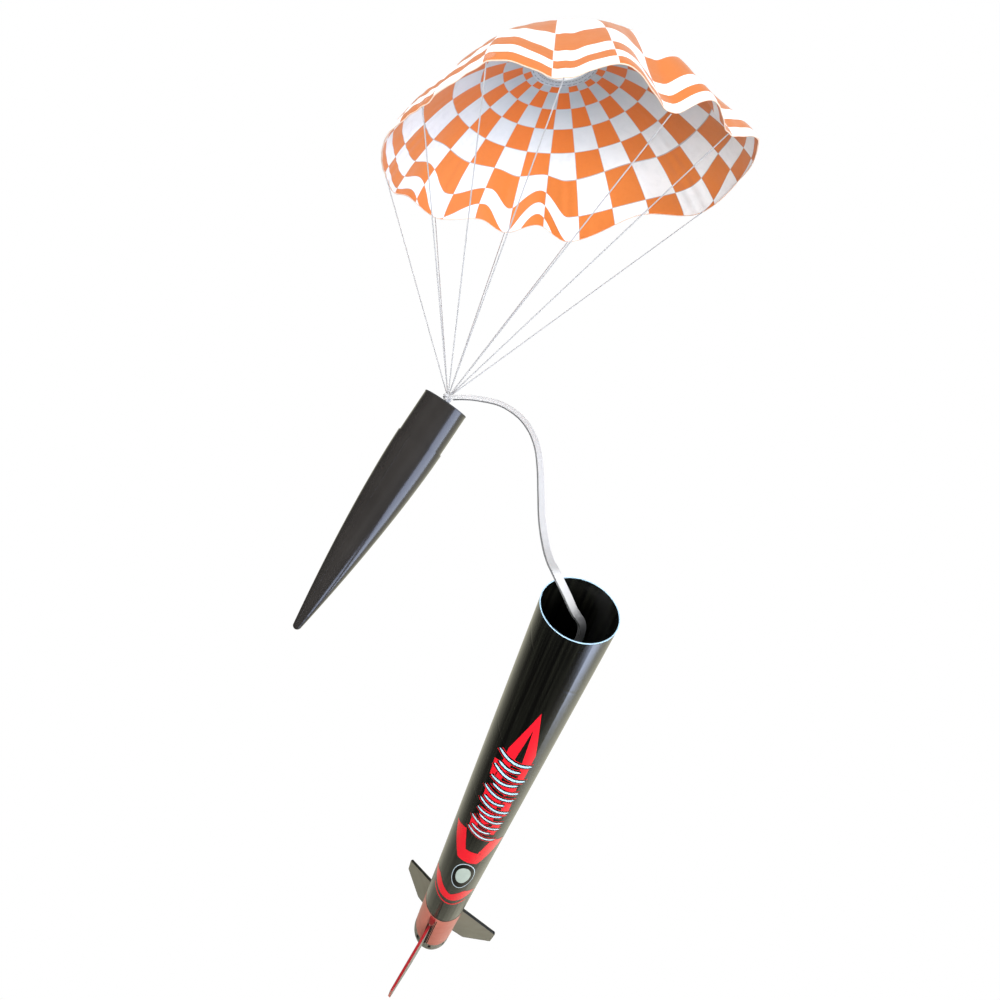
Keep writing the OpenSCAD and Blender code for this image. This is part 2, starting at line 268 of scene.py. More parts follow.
def wrap_black():
    """The printed wrap of the body tube."""
    n = Nodes("wrap_black")
    turn, z = around_tube(n)
    # the spiral joint of the paper tube shows faintly under the gloss
    spiral = n.math("FRACT", n.math("ADD", n.math("DIVIDE", z, 0.052), turn))
    groove = n.range(n.math("ABSOLUTE", n.math("SUBTRACT", spiral, 0.5)), 0, 1, 0.0, 0.02)
    # fine streaks along the tube
    combine = n.add("ShaderNodeCombineXYZ")
    n.link(n.math("MULTIPLY", turn, 30.0), combine.inputs[0])
    n.link(n.math("MULTIPLY", z, 4.0), combine.inputs[1])
    streak = n.noise(1.6, 4, 0.6, combine.outputs[0])
    col = n.mix(n.range(streak, 0, 1, 0.42, 0.72), rgb(0.0015, 0.0015, 0.0016), rgb(0.012, 0.0125, 0.009))
    # a painted reflection: the colour lightens to an olive haze towards the tail, along the streaks
    painted_reflection = n.math("MULTIPLY", n.range(z, 1.0, 0.0, -0.285, -0.13), n.range(streak, 0.35, 1.0, 0.35, 0.6))
    col = n.mix(painted_reflection, col, rgb(0.062, 0.061, 0.046))
    normal = n.bump(groove, 0.25, 0.00012, n.bump(n.noise(260, 3), 0.05, 0.0002))
    return n.finish(color=col, rough=n.range(streak, 0.16, 0.30), normal=normal, spec=0.5)


def cell_print(name, orange, pale, edge, painted_shade_orange=None, painted_shade_pale=None):
    """Film printed with cells; where shade colours are given, painted shade darkens it towards the crown. UV
    holds sectors round it and rows outwards.
    """
    n = Nodes(name)
    uv = n.add("ShaderNodeSeparateXYZ")
    n.link(n.coords("UV"), uv.inputs[0])
    u, q = uv.outputs[0], uv.outputs[1]
    sector, row = n.math("FLOOR", u), n.math("FLOOR", q)
    odd = n.math("MODULO", n.math("ADD", n.math("ADD", sector, row), 64.0), 2.0)
    # painted shade: the colours fade from the given shade colours near the crown to the plain ones further
    # out
    painted_shade_fade = n.range(q, 0, 1, 1.5, 5.5)
    warm = n.mix(painted_shade_fade, painted_shade_orange or orange, orange)
    cool = n.mix(painted_shade_fade, painted_shade_pale or pale, pale)
    crinkle = n.noise(130, 5, 0.62, None, 0.7)
    ink = n.mix(n.range(n.noise(420, 4), 0.0, 0.10, 0.45, 0.75), warm, rgb(0.55, 0.13, 0.02))
    foil = n.mix(n.range(crinkle, 0.0, 0.14, 0.45, 0.7), cool, tones(painted_shade_pale or pale, 0.12)[0])
    col = n.mix(n.math("GREATER_THAN", odd, 0.5), ink, foil)
    # a fine grey line round each cell
    du = n.math("ABSOLUTE", n.math("SUBTRACT", n.math("FRACT", n.math("ADD", u, 0.5)), 0.5))
    dq = n.math("ABSOLUTE", n.math("SUBTRACT", n.math("FRACT", n.math("ADD", q, 0.5)), 0.5))
    # the line stays as wide while the sectors widen
    du = n.math("MULTIPLY", du, n.math("MULTIPLY_ADD", q, 2.4, 4.4))
    dq = n.math("MULTIPLY", dq, 12.0)
    line = n.math("LESS_THAN", n.math("MINIMUM", du, dq), 0.15)
    printed_on = n.math("GREATER_THAN", q, 0.0)
    col = n.mix(n.math("MULTIPLY", n.math("MULTIPLY", line, printed_on), 0.7), col, edge)
    # the ring round the spill hole is left plain, in the pale colour's painted shade where one is given
    col = n.mix(printed_on, painted_shade_pale or pale, col)
    fold = n.noise(55, 3, 0.5, None, 1.2)
    normal = n.bump(crinkle, 0.15, 0.0006, n.bump(fold, 0.15, 0.002))
    return n.finish(color=col, rough=n.range(crinkle, 0.4, 0.575), normal=normal, spec=0.3, sheen=0.15)


def woven(name, color, dark, scale=1500):
    """Woven elastic or thread: ribs along it and cross threads, UV in metres along and turns round."""
    n = Nodes(name)
    uv = n.add("ShaderNodeSeparateXYZ")
    n.link(n.coords("UV"), uv.inputs[0])
    along, across = uv.outputs[0], uv.outputs[1]
    rib = n.math("SINE", n.math("MULTIPLY", across, 2 * math.pi * 9))
    pick = n.math("SINE", n.math("ADD", n.math("MULTIPLY", along, 2 * math.pi * scale),
                                 n.math("MULTIPLY", rib, 1.2)))
    weave = n.math("MULTIPLY_ADD", rib, 0.35, n.math("MULTIPLY", pick, 0.25))
    mottle = n.noise(200, 3)
    col = n.mix(n.range(weave, 0.0, 0.55, -0.6, 0.6), dark, color)
    col = n.mix(n.range(mottle, 0, 0.18, 0.4, 0.8), col, dark)
    return n.finish(color=col, rough=0.75, normal=n.bump(weave, 0.4, 0.0001), sheen=0.25, sheen_rough=0.5)


def clear_tape():
    """Clear tape, nearly invisible but for its gloss."""
    n = Nodes("tape_clear")
    grain = n.noise(800, 3)
    return n.finish(color=n.mix(grain, rgb(0.93, 0.93, 0.92), rgb(1, 1, 1)), rough=n.range(grain, 0.12, 0.25),
                    alpha=0.05, normal=n.bump(grain, 0.1, 0.00005))


LOOK = {
    "wrap": wrap_black(),
    "film_out": cell_print("film_outside", rgb(0.57, 0.165, 0.034), rgb(0.95, 0.95, 0.95),
                           rgb(0.62, 0.66, 0.70)),
    # the inside face: its orange is painted lighter than the outside's as painted light, and its colours fade
    # to painted shade towards the crown
    "film_in": cell_print("film_inside", rgb(0.76, 0.215, 0.042), rgb(0.95, 0.955, 0.96),
                          rgb(0.42, 0.47, 0.50), rgb(0.72, 0.150, 0.016), rgb(0.44, 0.495, 0.52)),
    "hem": moulded("film_hem", rgb(0.86, 0.62, 0.48), 0.5),
    "elastic": woven("elastic_white", rgb(0.58, 0.58, 0.59), rgb(0.51, 0.51, 0.52)),
    # painted shade for the elastic's edges
    "elastic_painted_shade": woven("elastic_painted_shade", rgb(0.17, 0.17, 0.175), rgb(0.11, 0.11, 0.115)),
    "thread": woven("thread_white", rgb(0.42, 0.42, 0.43), rgb(0.36, 0.36, 0.37), 700),
    "nose": moulded("nose_black", rgb(0.024, 0.0215, 0.020), 0.22, 0.25, 700, 0.015, spec=0.45, coat=0.3,
                    coat_rough=0.14),
    "base": moulded("base_black", rgb(0.03, 0.03, 0.032), 0.38, 0.2),
    "rim": paper("rim_pale", rgb(0.40, 0.60, 0.76), 2500),
    "kraft": paper("kraft_paper", rgb(0.45, 0.31, 0.17)),
    "card": paper("card_tan", rgb(0.52, 0.38, 0.22)),
    "anchor": paper("anchor_paper", rgb(0.72, 0.66, 0.52)),
    "can": moulded("can_red", rgb(0.50, 0.150, 0.105), 0.36, 0.2, 1400, 0.3, spec=0.4),
    "can_dark": moulded("block_red", rgb(0.22, 0.012, 0.012), 0.35, 0.2),
    "fin": moulded("fin_olive", rgb(0.20, 0.185, 0.135), 0.42, 0.18, 500, 0.2),
    "fin_edge": moulded("fin_edge_black", rgb(0.004, 0.004, 0.004), 0.5, spec=0.12),
    "fin_red": moulded("fin_edge_red", rgb(0.30, 0.012, 0.016), 0.35, 0.2),
    "lug": moulded("lug_black", rgb(0.015, 0.015, 0.015), 0.25),
    "ring": moulded("ring_grey", rgb(0.19, 0.18, 0.14), 0.45, 0.15),
    "red": printed("print_red", rgb(0.70, 0.008, 0.020)),
    "silver": printed("print_silver", rgb(0.47, 0.56, 0.62), 0.2),
    "pale_blue": printed("print_pale_blue", rgb(0.40, 0.62, 0.72), 0.15),
    "disc": printed("print_disc", rgb(0.40, 0.47, 0.42), 0.15),
    "ink_black": printed("print_black", rgb(0.002, 0.002, 0.002), 0.3),
    # the spill ring's film is white, coloured grey here as painted shade
    "ring_film_painted_shade": moulded("ring_film_painted_shade", rgb(0.50, 0.55, 0.58), 0.5),
    "dash": printed("print_dash", rgb(0.20, 0.24, 0.27), 0.1, 0.5),
    "tape": clear_tape(),
}


# ---------- mesh helpers ----------

def make(name, verts, faces, mats, body, uvs=None, which=None, smooth=True):
    """A mesh piece in metres that rides on a body; uvs is one (u, v) for each corner of each face, and
    which says the material of each face."""
    mesh = bpy.data.meshes.new(name)
    mesh.from_pydata([tuple(v) for v in verts], [], faces)
    for m in mats if isinstance(mats, (list, tuple)) else [mats]:
        mesh.materials.append(m)
    if which:
        for poly, index in zip(mesh.polygons, which):
            poly.material_index = index
    if uvs:
        layer = mesh.uv_layers.new(name="UVMap")
        for loop, uv in zip(layer.data, (uv for face in uvs for uv in face)):
            loop.uv = uv
    for poly in mesh.polygons:
        poly.use_smooth = smooth
    mesh.validate()
    mesh.update()
    obj = bpy.data.objects.new(name, mesh)
    bpy.context.scene.collection.objects.link(obj)
    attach(obj, body)
    return obj


def spline(p0, p1, p2, p3, t):
    """Point at share t of the smooth curve from p1 to p2."""
    return 0.5 * (2 * p1 + (p2 - p0) * t + (2 * p0 - 5 * p1 + 4 * p2 - p3) * t * t
                  + (3 * p1 - p0 - 3 * p2 + p3) * t ** 3)


def smooth_route(route, steps):
    """The route with steps points for each of its stretches."""
    pts = [Vector(p) for p in route]
    n = len(pts) - 1
    out = [spline(pts[max(0, i - 1)], pts[i], pts[i + 1], pts[min(n, i + 2)], k / steps)
           for i in range(n) for k in range(steps)]
    return out + [pts[-1]]


def swept(path, width, thick, sides, across_of, power=1.0, closed=False):
    """Verts, faces and UVs of a rod swept along path (metres). UV is metres along and turns round.
    across_of gives its width's direction from the path's; power 1 is an ellipse, and less is squarer."""
    n = len(path)
    verts, faces, uvs = [], [], []
    length, at = 0.0, []
    for i in range(n):
        if i:
            length += (path[i] - path[i - 1]).length
        at.append(length)
        if closed:
            d = (path[(i + 1) % n] - path[i - 1]).normalized()
        else:
            d = (path[min(n - 1, i + 1)] - path[max(0, i - 1)]).normalized()
        across = across_of(d)
        out = across.cross(d).normalized()
        for k in range(sides):
            a = 2 * math.pi * (k + 0.5) / sides
            c, s = math.cos(a), math.sin(a)
            c = math.copysign(abs(c) ** power, c)
            s = math.copysign(abs(s) ** power, s)
            verts.append(path[i] + across * (width / 2 * c) + out * (thick / 2 * s))
    for i in range(n if closed else n - 1):
        j = (i + 1) % n
        for k in range(sides):
            m = (k + 1) % sides
            faces.append([i * sides + k, i * sides + m, j * sides + m, j * sides + k])
            a, b = at[i], at[j] if j else at[i] + (path[0] - path[i]).length
            uvs.append([(a, k / sides), (a, (k + 1) / sides), (b, (k + 1) / sides), (b, k / sides)])
    if not closed:
        for i, order in ((0, range(sides)), (n - 1, range(sides - 1, -1, -1))):
            faces.append([i * sides + k for k in order])
            uvs.append([(at[i], k / sides) for k in order])
    return verts, faces, uvs


# ---------- cords ----------

CORD_ROUTE = [
    (-57.2, -15.5, -179), (-51, -17.5, -179.3), (-44.2, -20.5, -180.5), (-34, -27.5, -184),
    (-25.8, -36.5, -190.5), (-20.7, -46.5, -198.5), (-18.2, -57.5, -207.5), (-17.8, -69.5, -217.5),
    (-18.3, -81.5, -228), (-18.8, -93.5, -237), (-18.4, -104.5, -245), (-17.8, -115.5, -249.5),
    (-16.9, -124.5, -252), (-15.5, -126, -255), (-13, -123.5, -260), (-10.7, -121.5, -265),
    (-7.6, -117, -270), (-7.3, -111, -275.5), (-9.3, -104.5, -283), (-10.9, -99.4, -288.7)]
cord_path = [p * MM for p in smooth_route(CORD_ROUTE, 5)]
# the flat elastic: width, thickness, how square it is and how far it is turned
CORD_W, CORD_T, CORD_POWER, CORD_TURN = 2.9, 1.2, 0.3, -30
# sides of its section, and those painted darker as shade along its two edges
CORD_SIDES, CORD_SHADED_SIDES = 16, {0, 7, 8, 15}
KNOT_W, KNOT_T, KNOT_SCALE = 1.7, 1.35, 0.6
# the eyelet's loop: its radius, how far its strands run from that, its height and its strands' width
LOOP_R, LOOP_TWIST, LOOP_Z, LOOP_D = 1.55, 0.24, -0.3, 0.6
# a line starts a little under the film's middle and stops short of the knot's middle
LINE_D, LINE_DROP, LINE_STOP, LINE_STEPS = 0.6, 0.15, 2.7, 40


def flat_side(d):
    """The elastic's width, turned a little so that one of its edges shows."""
    across = d.cross(Vector((0, 1, 0))).normalized()
    return (Matrix.Rotation(math.radians(CORD_TURN), 3, d) @ across).normalized()


def steady(d):
    """A direction across d that turns little along a curve."""
    side = d.cross(Vector((0.2, 1, 0.1)))
    return side.normalized() if side.length > 0.05 else d.orthogonal().normalized()


def across_line(d):
    """Any direction across a straight line."""
    return d.orthogonal().normalized()


verts, faces, uvs = swept(cord_path, CORD_W * MM, CORD_T * MM, CORD_SIDES, flat_side, CORD_POWER)
long_faces = (len(cord_path) - 1) * CORD_SIDES
which = [1 if f < long_faces and f % CORD_SIDES in CORD_SHADED_SIDES else 0 for f in range(len(faces))]
shock_cord = make("shock_cord_elastic", verts, faces, [LOOK["elastic"], LOOK["elastic_painted_shade"]], "airframe",
                  uvs, which)
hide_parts("shock_cord")


def knot_path(steps=96):
    """The middle line of a trefoil knot, upright."""
    path = []
    for k in range(steps):
        t = 2 * math.pi * k / steps
        x = math.sin(t) + 2 * math.sin(2 * t)
        y = math.cos(t) - 2 * math.cos(2 * t)
        z = -math.sin(3 * t)
        path.append((KNOT + Vector((x * KNOT_SCALE, z * 0.75, y * KNOT_SCALE))) * MM)
    return path


verts, faces, uvs = swept(knot_path(), KNOT_W * MM, KNOT_T * MM, 10, steady, 0.8, closed=True)
knot = make("knot_of_elastic", verts, faces, LOOK["elastic"], "harness", uvs)
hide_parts("knot")


def loop_strand(phase, steps=72, twists=6):
    """One of the loop's two strands, which twist round each other."""
    ring = []
    for k in range(steps):
        a = 2 * math.pi * k / steps
        w = twists * a + phase
        r = LOOP_R + LOOP_TWIST * math.cos(w)
        place = Vector((r * math.cos(a), LOOP_TWIST * math.sin(w), LOOP_Z + r * math.sin(a)))
        ring.append(NOSE @ (place * MM))
    return ring


loop_verts, loop_faces, loop_uvs = [], [], []
for phase in (0, math.pi):
    v, f, u = swept(loop_strand(phase), LOOP_D * MM, LOOP_D * MM, 8, steady, closed=True)
    loop_faces += [[i + len(loop_verts) for i in face] for face in f]
    loop_verts += v
    loop_uvs += u
loop = make("eyelet_loop", loop_verts, loop_faces, LOOK["elastic"], "harness", loop_uvs)
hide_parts("cord_loop")

for i, angle in enumerate(LINE_ANGLES):
    top = film(angle, CANOPY_R, -CANOPY_T / 2) - Vector((0, 0, LINE_DROP)) * MM
    centre = KNOT * MM
    end = centre + (top - centre).normalized() * (LINE_STOP * MM)
    path = [top.lerp(end, k / LINE_STEPS) for k in range(LINE_STEPS + 1)]
    verts, faces, uvs = swept(path, LINE_D * MM, LINE_D * MM, 8, across_line)
    line = make(f"line_{i + 1:02d}", verts, faces, LOOK["thread"], "canopy_set", uvs)
    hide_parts(f"shroud_line_{i + 1:02d}")


# ---------- canopy ----------

def arcs(steps=800):
    """Pairs of a radius and the length along the plain dome out to it."""
    table, length, last = [(0.0, 0.0)], 0.0, (0.0, 0.0)
    for k in range(1, steps + 1):
        r = CANOPY_R * math.sin(math.pi / 2 * k / steps)
        here = (r, dome(r))
        length += math.hypot(here[0] - last[0], here[1] - last[1])
        table.append((r, length))
        last = here
    return table


ARCS = arcs()
HEM_ARC = ARCS[-1][1]
# where the rows of cells meet, as lengths along the dome: all round, and on the near side
ROW_EDGES = [18.1, 21.7, 33.4, 46.3, 61.7, 77.9]
NEAR_EDGES = [18.1, 21.7, 33.4, 46.3, 64, 84.5, 99, 106, 111.3, 116]
NEAR_SIDE = 265
# columns and rows of the film's mesh, and sectors of cells
AROUND, ROWS, SECTORS = 336, 56, 24
# how far the sectors are turned, how uneven they are (degrees) and where that is most
SECTOR_TURN, UNEVEN, UNEVEN_AT = 4.2, 2, 261
# how far the film's two faces stand from the CAD canopy's outer face
FILM_OUT, FILM_IN = -0.45, -0.75
# dome radius where the crumples begin, and the distance over which they grow
CRUMPLE_FROM, CRUMPLE_OVER = 35, 60


def arc_of(r):
    """Length along the plain dome out to radius r."""
    for (r0, s0), (r1, s1) in zip(ARCS, ARCS[1:]):
        if r <= r1 + 1e-9:
            return s0 + (s1 - s0) * (r - r0) / max(1e-9, r1 - r0)
    return HEM_ARC


def count_rows(edges, arc):
    """Rows passed at a length along the dome; the last row goes on past its edge."""
    for k, (s0, s1) in enumerate(zip(edges, edges[1:])):
        if arc <= s1 or k == len(edges) - 2:
            return k + (arc - s0) / (s1 - s0)


def row_of(a, arc):
    """Rows of cells out from the ring: fixed near the crown, and packed by the waves near the hem."""
    if arc <= ROW_EDGES[-1]:
        far = count_rows(ROW_EDGES, arc)
    else:
        t = (arc - ROW_EDGES[-1]) / (HEM_ARC - ROW_EDGES[-1])
        inner = len(ROW_EDGES) - 1
        far = inner + (wave(a, 3) - inner) * min(1, t) ** 1.3
    near = ease(0.5 + 0.9 * math.cos(math.radians(a - NEAR_SIDE)))
    return far + (count_rows(NEAR_EDGES, arc) - far) * near


def sector_start(j):
    """Direction of column j; the sectors are a little uneven round the canopy."""
    base = 360 * j / AROUND
    return base + SECTOR_TURN + UNEVEN * math.cos(math.radians(base - UNEVEN_AT))


def crumple(p, a, r):
    """Small puckers that fan out from the lines' ends, and soft crumples, in millimetres."""
    grow = ease((r - CRUMPLE_FROM) / CRUMPLE_OVER)
    near = min(abs((a - b + 180) % 360 - 180) for b in LINE_ANGLES)
    pucker = 0.35 * math.exp(-near / 7) * math.cos(near * 1.1) * grow
    soft = noise.noise(p * 45) * 0.7 * grow + noise.noise(p * 110 + Vector((3, 1, 2))) * 0.25 * grow
    return pucker + soft


def canopy_film():
    """Both faces of the film and the walls that close it at the hem and the spill hole."""
    start = math.asin(SPILL_R / CANOPY_R)
    radii = [CANOPY_R * math.sin(start + (math.pi / 2 - start) * k / ROWS) for k in range(ROWS + 1)]
    arc_at = [arc_of(r) for r in radii]
    verts, faces, uvs, which = [], [], [], []
    for out in (FILM_OUT, FILM_IN):
        for r in radii:
            for j in range(AROUND):
                a = sector_start(j)
                p = film(a, r, out)
                up = Vector((p.x, p.y, 0.05)).normalized()
                verts.append(p + up * (crumple(p, a, r) * MM))
    layer = (ROWS + 1) * AROUND
    for side in (0, 1):
        for k in range(ROWS):
            for j in range(AROUND):
                m = (j + 1) % AROUND
                a0, a1 = sector_start(j), sector_start(j + 1)
                u0, u1 = SECTORS * j / AROUND, SECTORS * (j + 1) / AROUND
                b = side * layer + k * AROUND
                quad = [(b + j, u0, a0, k), (b + m, u1, a1, k), (b + AROUND + m, u1, a1, k + 1),
                        (b + AROUND + j, u0, a0, k + 1)]
                if not side:
                    quad.reverse()
                faces.append([q[0] for q in quad])
                uvs.append([(q[1], row_of(q[2], arc_at[q[3]])) for q in quad])
                which.append(side)
    for k in (0, ROWS):
        for j in range(AROUND):
            m = (j + 1) % AROUND
            b = k * AROUND
            quad = [b + j, b + m, b + layer + m, b + layer + j]
            faces.append(quad if k else quad[::-1])
            uvs.append([(0.5, 1.5)] * 4)
            which.append(0)
    return verts, faces, uvs, which


def hem_line(verts):
    """The film's edge, midway between its two faces."""
    outer = ROWS * AROUND
    inner = outer + (ROWS + 1) * AROUND
    return [(Vector(verts[outer + j]) + Vector(verts[inner + j])) / 2 for j in range(AROUND)]


def spill_ring(steps=288):
    """The ring round the spill hole, with its two dashed circles as faces of a second material."""
    radii = [SPILL_R, 14.5, 14.9, 16.6, 17.0, 18.0]
    # the bands that are dashed, and how many steps a gap takes; a dash is twice as long
    gaps = {1: 2, 3: 3}
    verts, faces, which = [], [], []
    for lift in (-0.25, -0.95):
        for r in radii:
            verts += [film(360 * j / steps, r, lift) for j in range(steps)]
    count = len(radii) * steps
    for side in (0, 1):
        for k in range(len(radii) - 1):
            for j in range(steps):
                m = (j + 1) % steps
                b = side * count + k * steps
                quad = [b + j, b + m, b + steps + m, b + steps + j]
                faces.append(quad if side else quad[::-1])
                which.append(1 if k in gaps and (j // gaps[k]) % 3 else 0)
    for k in (0, len(radii) - 1):
        for j in range(steps):
            m = (j + 1) % steps
            b = k * steps
            quad = [b + j, b + m, b + count + m, b + count + j]
            faces.append(quad if k else quad[::-1])
            which.append(0)
    return verts, faces, which


def tape_discs(steps=24):
    """A round of clear tape over the end of each line, bent with the film."""
    middle = CANOPY_R - 0.9
    # half of its size round the hem and along the film, in millimetres
    across, along = 3.6, 0.85
    size = 1 + 2 * steps
    verts, faces = [], []
    for angle in LINE_ANGLES:
        start = len(verts)
        for lift in (-0.30, -0.05):
            verts.append(film(angle, middle, lift))
            for ring in (0.5, 1.0):
                for k in range(steps):
                    t = 2 * math.pi * k / steps
                    a = angle + math.degrees(across * ring * math.cos(t) / CANOPY_R)
                    r = middle + ring * math.sin(t) * along
                    verts.append(film(a, min(r, CANOPY_R - 0.01), lift))
        for side in (0, 1):
            b = start + side * size
            for k in range(steps):
                m = (k + 1) % steps
                tri = [b, b + 1 + k, b + 1 + m]
                quad = [b + 1 + k, b + 1 + steps + k, b + 1 + steps + m, b + 1 + m]
                faces += [tri, quad] if side else [tri[::-1], quad[::-1]]
        rim = start + 1 + steps
        for k in range(steps):
            m = (k + 1) % steps
            faces.append([rim + k, rim + m, size + rim + m, size + rim + k])
    return verts, faces


film_verts, faces, uvs, which = canopy_film()
canopy = make("canopy_cells", film_verts, faces, [LOOK["film_out"], LOOK["film_in"]], "canopy_set",
              uvs, which)
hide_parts("canopy")

# the hem's folded edge
verts, faces, uvs = swept(hem_line(film_verts), 0.4 * MM, 0.7 * MM, 6, steady, closed=True)
hem = make("canopy_hem", verts, faces, LOOK["hem"], "canopy_set", uvs)

verts, faces, which = spill_ring()
spill = make("spill_ring_print", verts, faces, [LOOK["ring_film_painted_shade"], LOOK["dash"]], "canopy_set",
             None, which)
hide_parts("spill_ring")

verts, faces = tape_discs()
tabs = make("line_tape", verts, faces, LOOK["tape"], "canopy_set")
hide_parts("line_tabs")


# ---------- carried-over CAD pieces ----------

for name, material in {
        "nose_cone": "nose", "nose_base": "base", "body_tube": "wrap", "cord_anchor": "anchor",
        "front_centering_ring": "card", "rear_centering_ring": "card", "motor_tube": "kraft",
        "thrust_ring": "card", "fin_can": "can", "fin_front": "fin", "fin_right": "fin", "fin_left": "fin",
        "launch_lug": "lug", "lock_ring": "ring"}.items():
    mesh = nodes[name].data
    mesh.materials.clear()
    mesh.materials.append(LOOK[material])


# ---------- detail on the airframe ----------

def turned(profile, point, steps=144):
    """Verts and faces of a ring; point gives the place of a profile corner at an angle in degrees."""
    verts = [point(360 * j / steps, *corner) for j in range(steps) for corner in profile]
    n = len(profile)
    faces = []
    for j in range(steps):
        m = (j + 1) % steps
        for k in range(n):
            q = (k + 1) % n
            faces.append([j * n + k, j * n + q, m * n + q, m * n + k])
    return verts, faces


def ring_on_tube(name, s0, s1, inner, outer, material, bevel=0.0):
    """A thin ring round the tube; with no bevel its outer corners are sharp."""
    profile = [(inner, s0), (inner, s1), (outer - bevel, s1), (outer, s1 - bevel), (outer, s0 + bevel),
               (outer - bevel, s0)]
    verts, faces = turned(profile, lambda angle, r, s: on_tube(angle, s, 0, r))
    return make(name, verts, faces, material, "airframe")


ring_on_tube("tube_rim", -0.10, 0.12, 12.12, 12.43, LOOK["rim"], 0.05)


# millimetres round the tube in a degree
PER_DEGREE = TUBE_R * math.pi / 180
# outlines are filled at ten times their size, so that no corners merge
ENLARGE = 10


def fill(name, outlines, lift, material, body="airframe"):
    """Printed patches on the tube: each outline is corners in (degrees, s), filled and wrapped on."""
    curve = bpy.data.curves.new(name, "CURVE")
    curve.dimensions = "2D"
    curve.fill_mode = "BOTH"
    for outline in outlines:
        line = curve.splines.new("POLY")
        line.points.add(len(outline) - 1)
        for point, (a, s) in zip(line.points, outline):
            point.co = (a * PER_DEGREE * MM * ENLARGE, s * MM * ENLARGE, 0, 1)
        line.use_cyclic_u = True
    temp = bpy.data.objects.new(name + "_flat", curve)
    bpy.context.scene.collection.objects.link(temp)
    bpy.context.view_layer.update()
    flat = bpy.data.meshes.new_from_object(temp.evaluated_get(bpy.context.evaluated_depsgraph_get()))
    bpy.data.objects.remove(temp)
    bm = bmesh.new()
    bm.from_mesh(flat)
    # cuts every five degrees let the patch bend round the tube
    xs = [v.co.x for v in bm.verts]
    step = 5 * PER_DEGREE * MM * ENLARGE
    for k in range(int(min(xs) / step), int(max(xs) / step) + 2):
        bmesh.ops.bisect_plane(bm, geom=bm.verts[:] + bm.edges[:] + bm.faces[:], dist=1e-7,
                               plane_co=(k * step, 0, 0), plane_no=(1, 0, 0))
    bmesh.ops.triangulate(bm, faces=bm.faces[:])
    verts = [on_tube(v.co.x / (PER_DEGREE * MM * ENLARGE), v.co.y / (MM * ENLARGE), lift) for v in bm.verts]
    bm.verts.index_update()
    faces = []
    for face in bm.faces:
        corners = [v.index for v in face.verts]
        a, b, c = (verts[i] for i in corners)
        mid = (a + b + c) / 3
        axis_point = AIRFRAME @ Vector((0, 0, (AIRFRAME.inverted() @ mid).z))
        if (b - a).cross(c - a).dot(mid - axis_point) < 0:
            corners.reverse()
        faces.append(corners)
    bm.free()
    bpy.data.meshes.remove(flat)
    bpy.data.curves.remove(curve)
    return make(name, verts, faces, material, body)


def band(points, width, taper=False):
    """Outline of a stroke of a width (millimetres) along points in (degrees, s)."""
    pts = [Vector((a * PER_DEGREE, s)) for a, s in points]
    left, right = [], []
    n = len(pts)
    for i, p in enumerate(pts):
        d = (pts[min(n - 1, i + 1)] - pts[max(0, i - 1)]).normalized()
        side = Vector((-d.y, d.x)) * width / 2
        if taper and i in (0, n - 1):
            side *= 0.25
        left.append(p + side)
        right.append(p - side)
    return [(p.x / PER_DEGREE, p.y) for p in left + right[::-1]]


def curved(points, steps=5):
    """Smooth line through points in (degrees, s)."""
    route = [Vector((a, s, 0)) for a, s in points]
    return [(p.x, p.y) for p in smooth_route(route, steps)]


def oval(centre, across, along, steps=48):
    """Outline of an oval, across in degrees and along in millimetres."""
    return [(centre[0] + across * math.cos(2 * math.pi * k / steps),
             centre[1] + along * math.sin(2 * math.pi * k / steps)) for k in range(steps)]


# the layers of print, from the tube outwards
RED_LIFT, HALO_LIFT, EDGE_LIFT, GAP_LIFT, DISC_LIFT, STROKE_LIFT = 0.035, 0.045, 0.05, 0.06, 0.07, 0.08

# upper print: a plain hollow chevron, then rows of plain curved strokes over broken red patches
chevron = [(336, 40), (312, 69), (311, 93), (322, 93), (328, 78), (336, 51), (344, 78), (350, 93), (361, 93),
           (360, 69)]
fill("print_chevron", [chevron], RED_LIFT, LOOK["red"])
patches = [
    [(296, 82), (312, 80), (309, 92), (299, 95)],
    [(318, 96), (352, 93), (357, 99), (340, 105), (333, 99), (320, 102)],
    [(302, 104), (322, 106), (340, 109), (337, 118), (318, 115), (305, 117)],
    [(344, 110), (362, 112), (364, 124), (350, 127)],
    [(310, 122), (338, 123), (344, 133), (326, 136), (312, 131)],
    [(346, 133), (362, 134), (358, 146), (340, 144)],
    [(300, 137), (318, 139), (314, 148), (302, 147)]]
fill("print_patches", patches, RED_LIFT, LOOK["red"])

STROKES, PALE_STROKES, FIRST_STROKE, STROKE_PITCH, STROKE_SAG = 13, 9, 76.0, 6.1, 0.9
# both ends (degrees) and the lean of five kinds of stroke, taken in turn
STROKE_KINDS = [(298, 364, 2.6), (306, 349, 1.2), (300, 366, 3.2), (303, 356, 0.4), (312, 365, 2.0)]


def stroke(k):
    """Middle line of stroke k."""
    left, right, lean = STROKE_KINDS[k % len(STROKE_KINDS)]
    s = FIRST_STROKE + STROKE_PITCH * k
    return curved([(left, s - lean), ((left + right) / 2, s + STROKE_SAG), (right, s + lean)], 4)


for k in range(STROKES):
    fill(f"print_halo_{k:02d}", [band(stroke(k), 4.2)], HALO_LIFT, LOOK["red"])
for k in range(STROKES):
    fill(f"print_gap_{k:02d}", [band(stroke(k), 3.3)], GAP_LIFT, LOOK["ink_black"])
for k in range(STROKES):
    fill(f"print_stroke_{k:02d}", [band(stroke(k), 1.5, taper=True)], STROKE_LIFT,
         LOOK["pale_blue" if k < PALE_STROKES else "silver"])

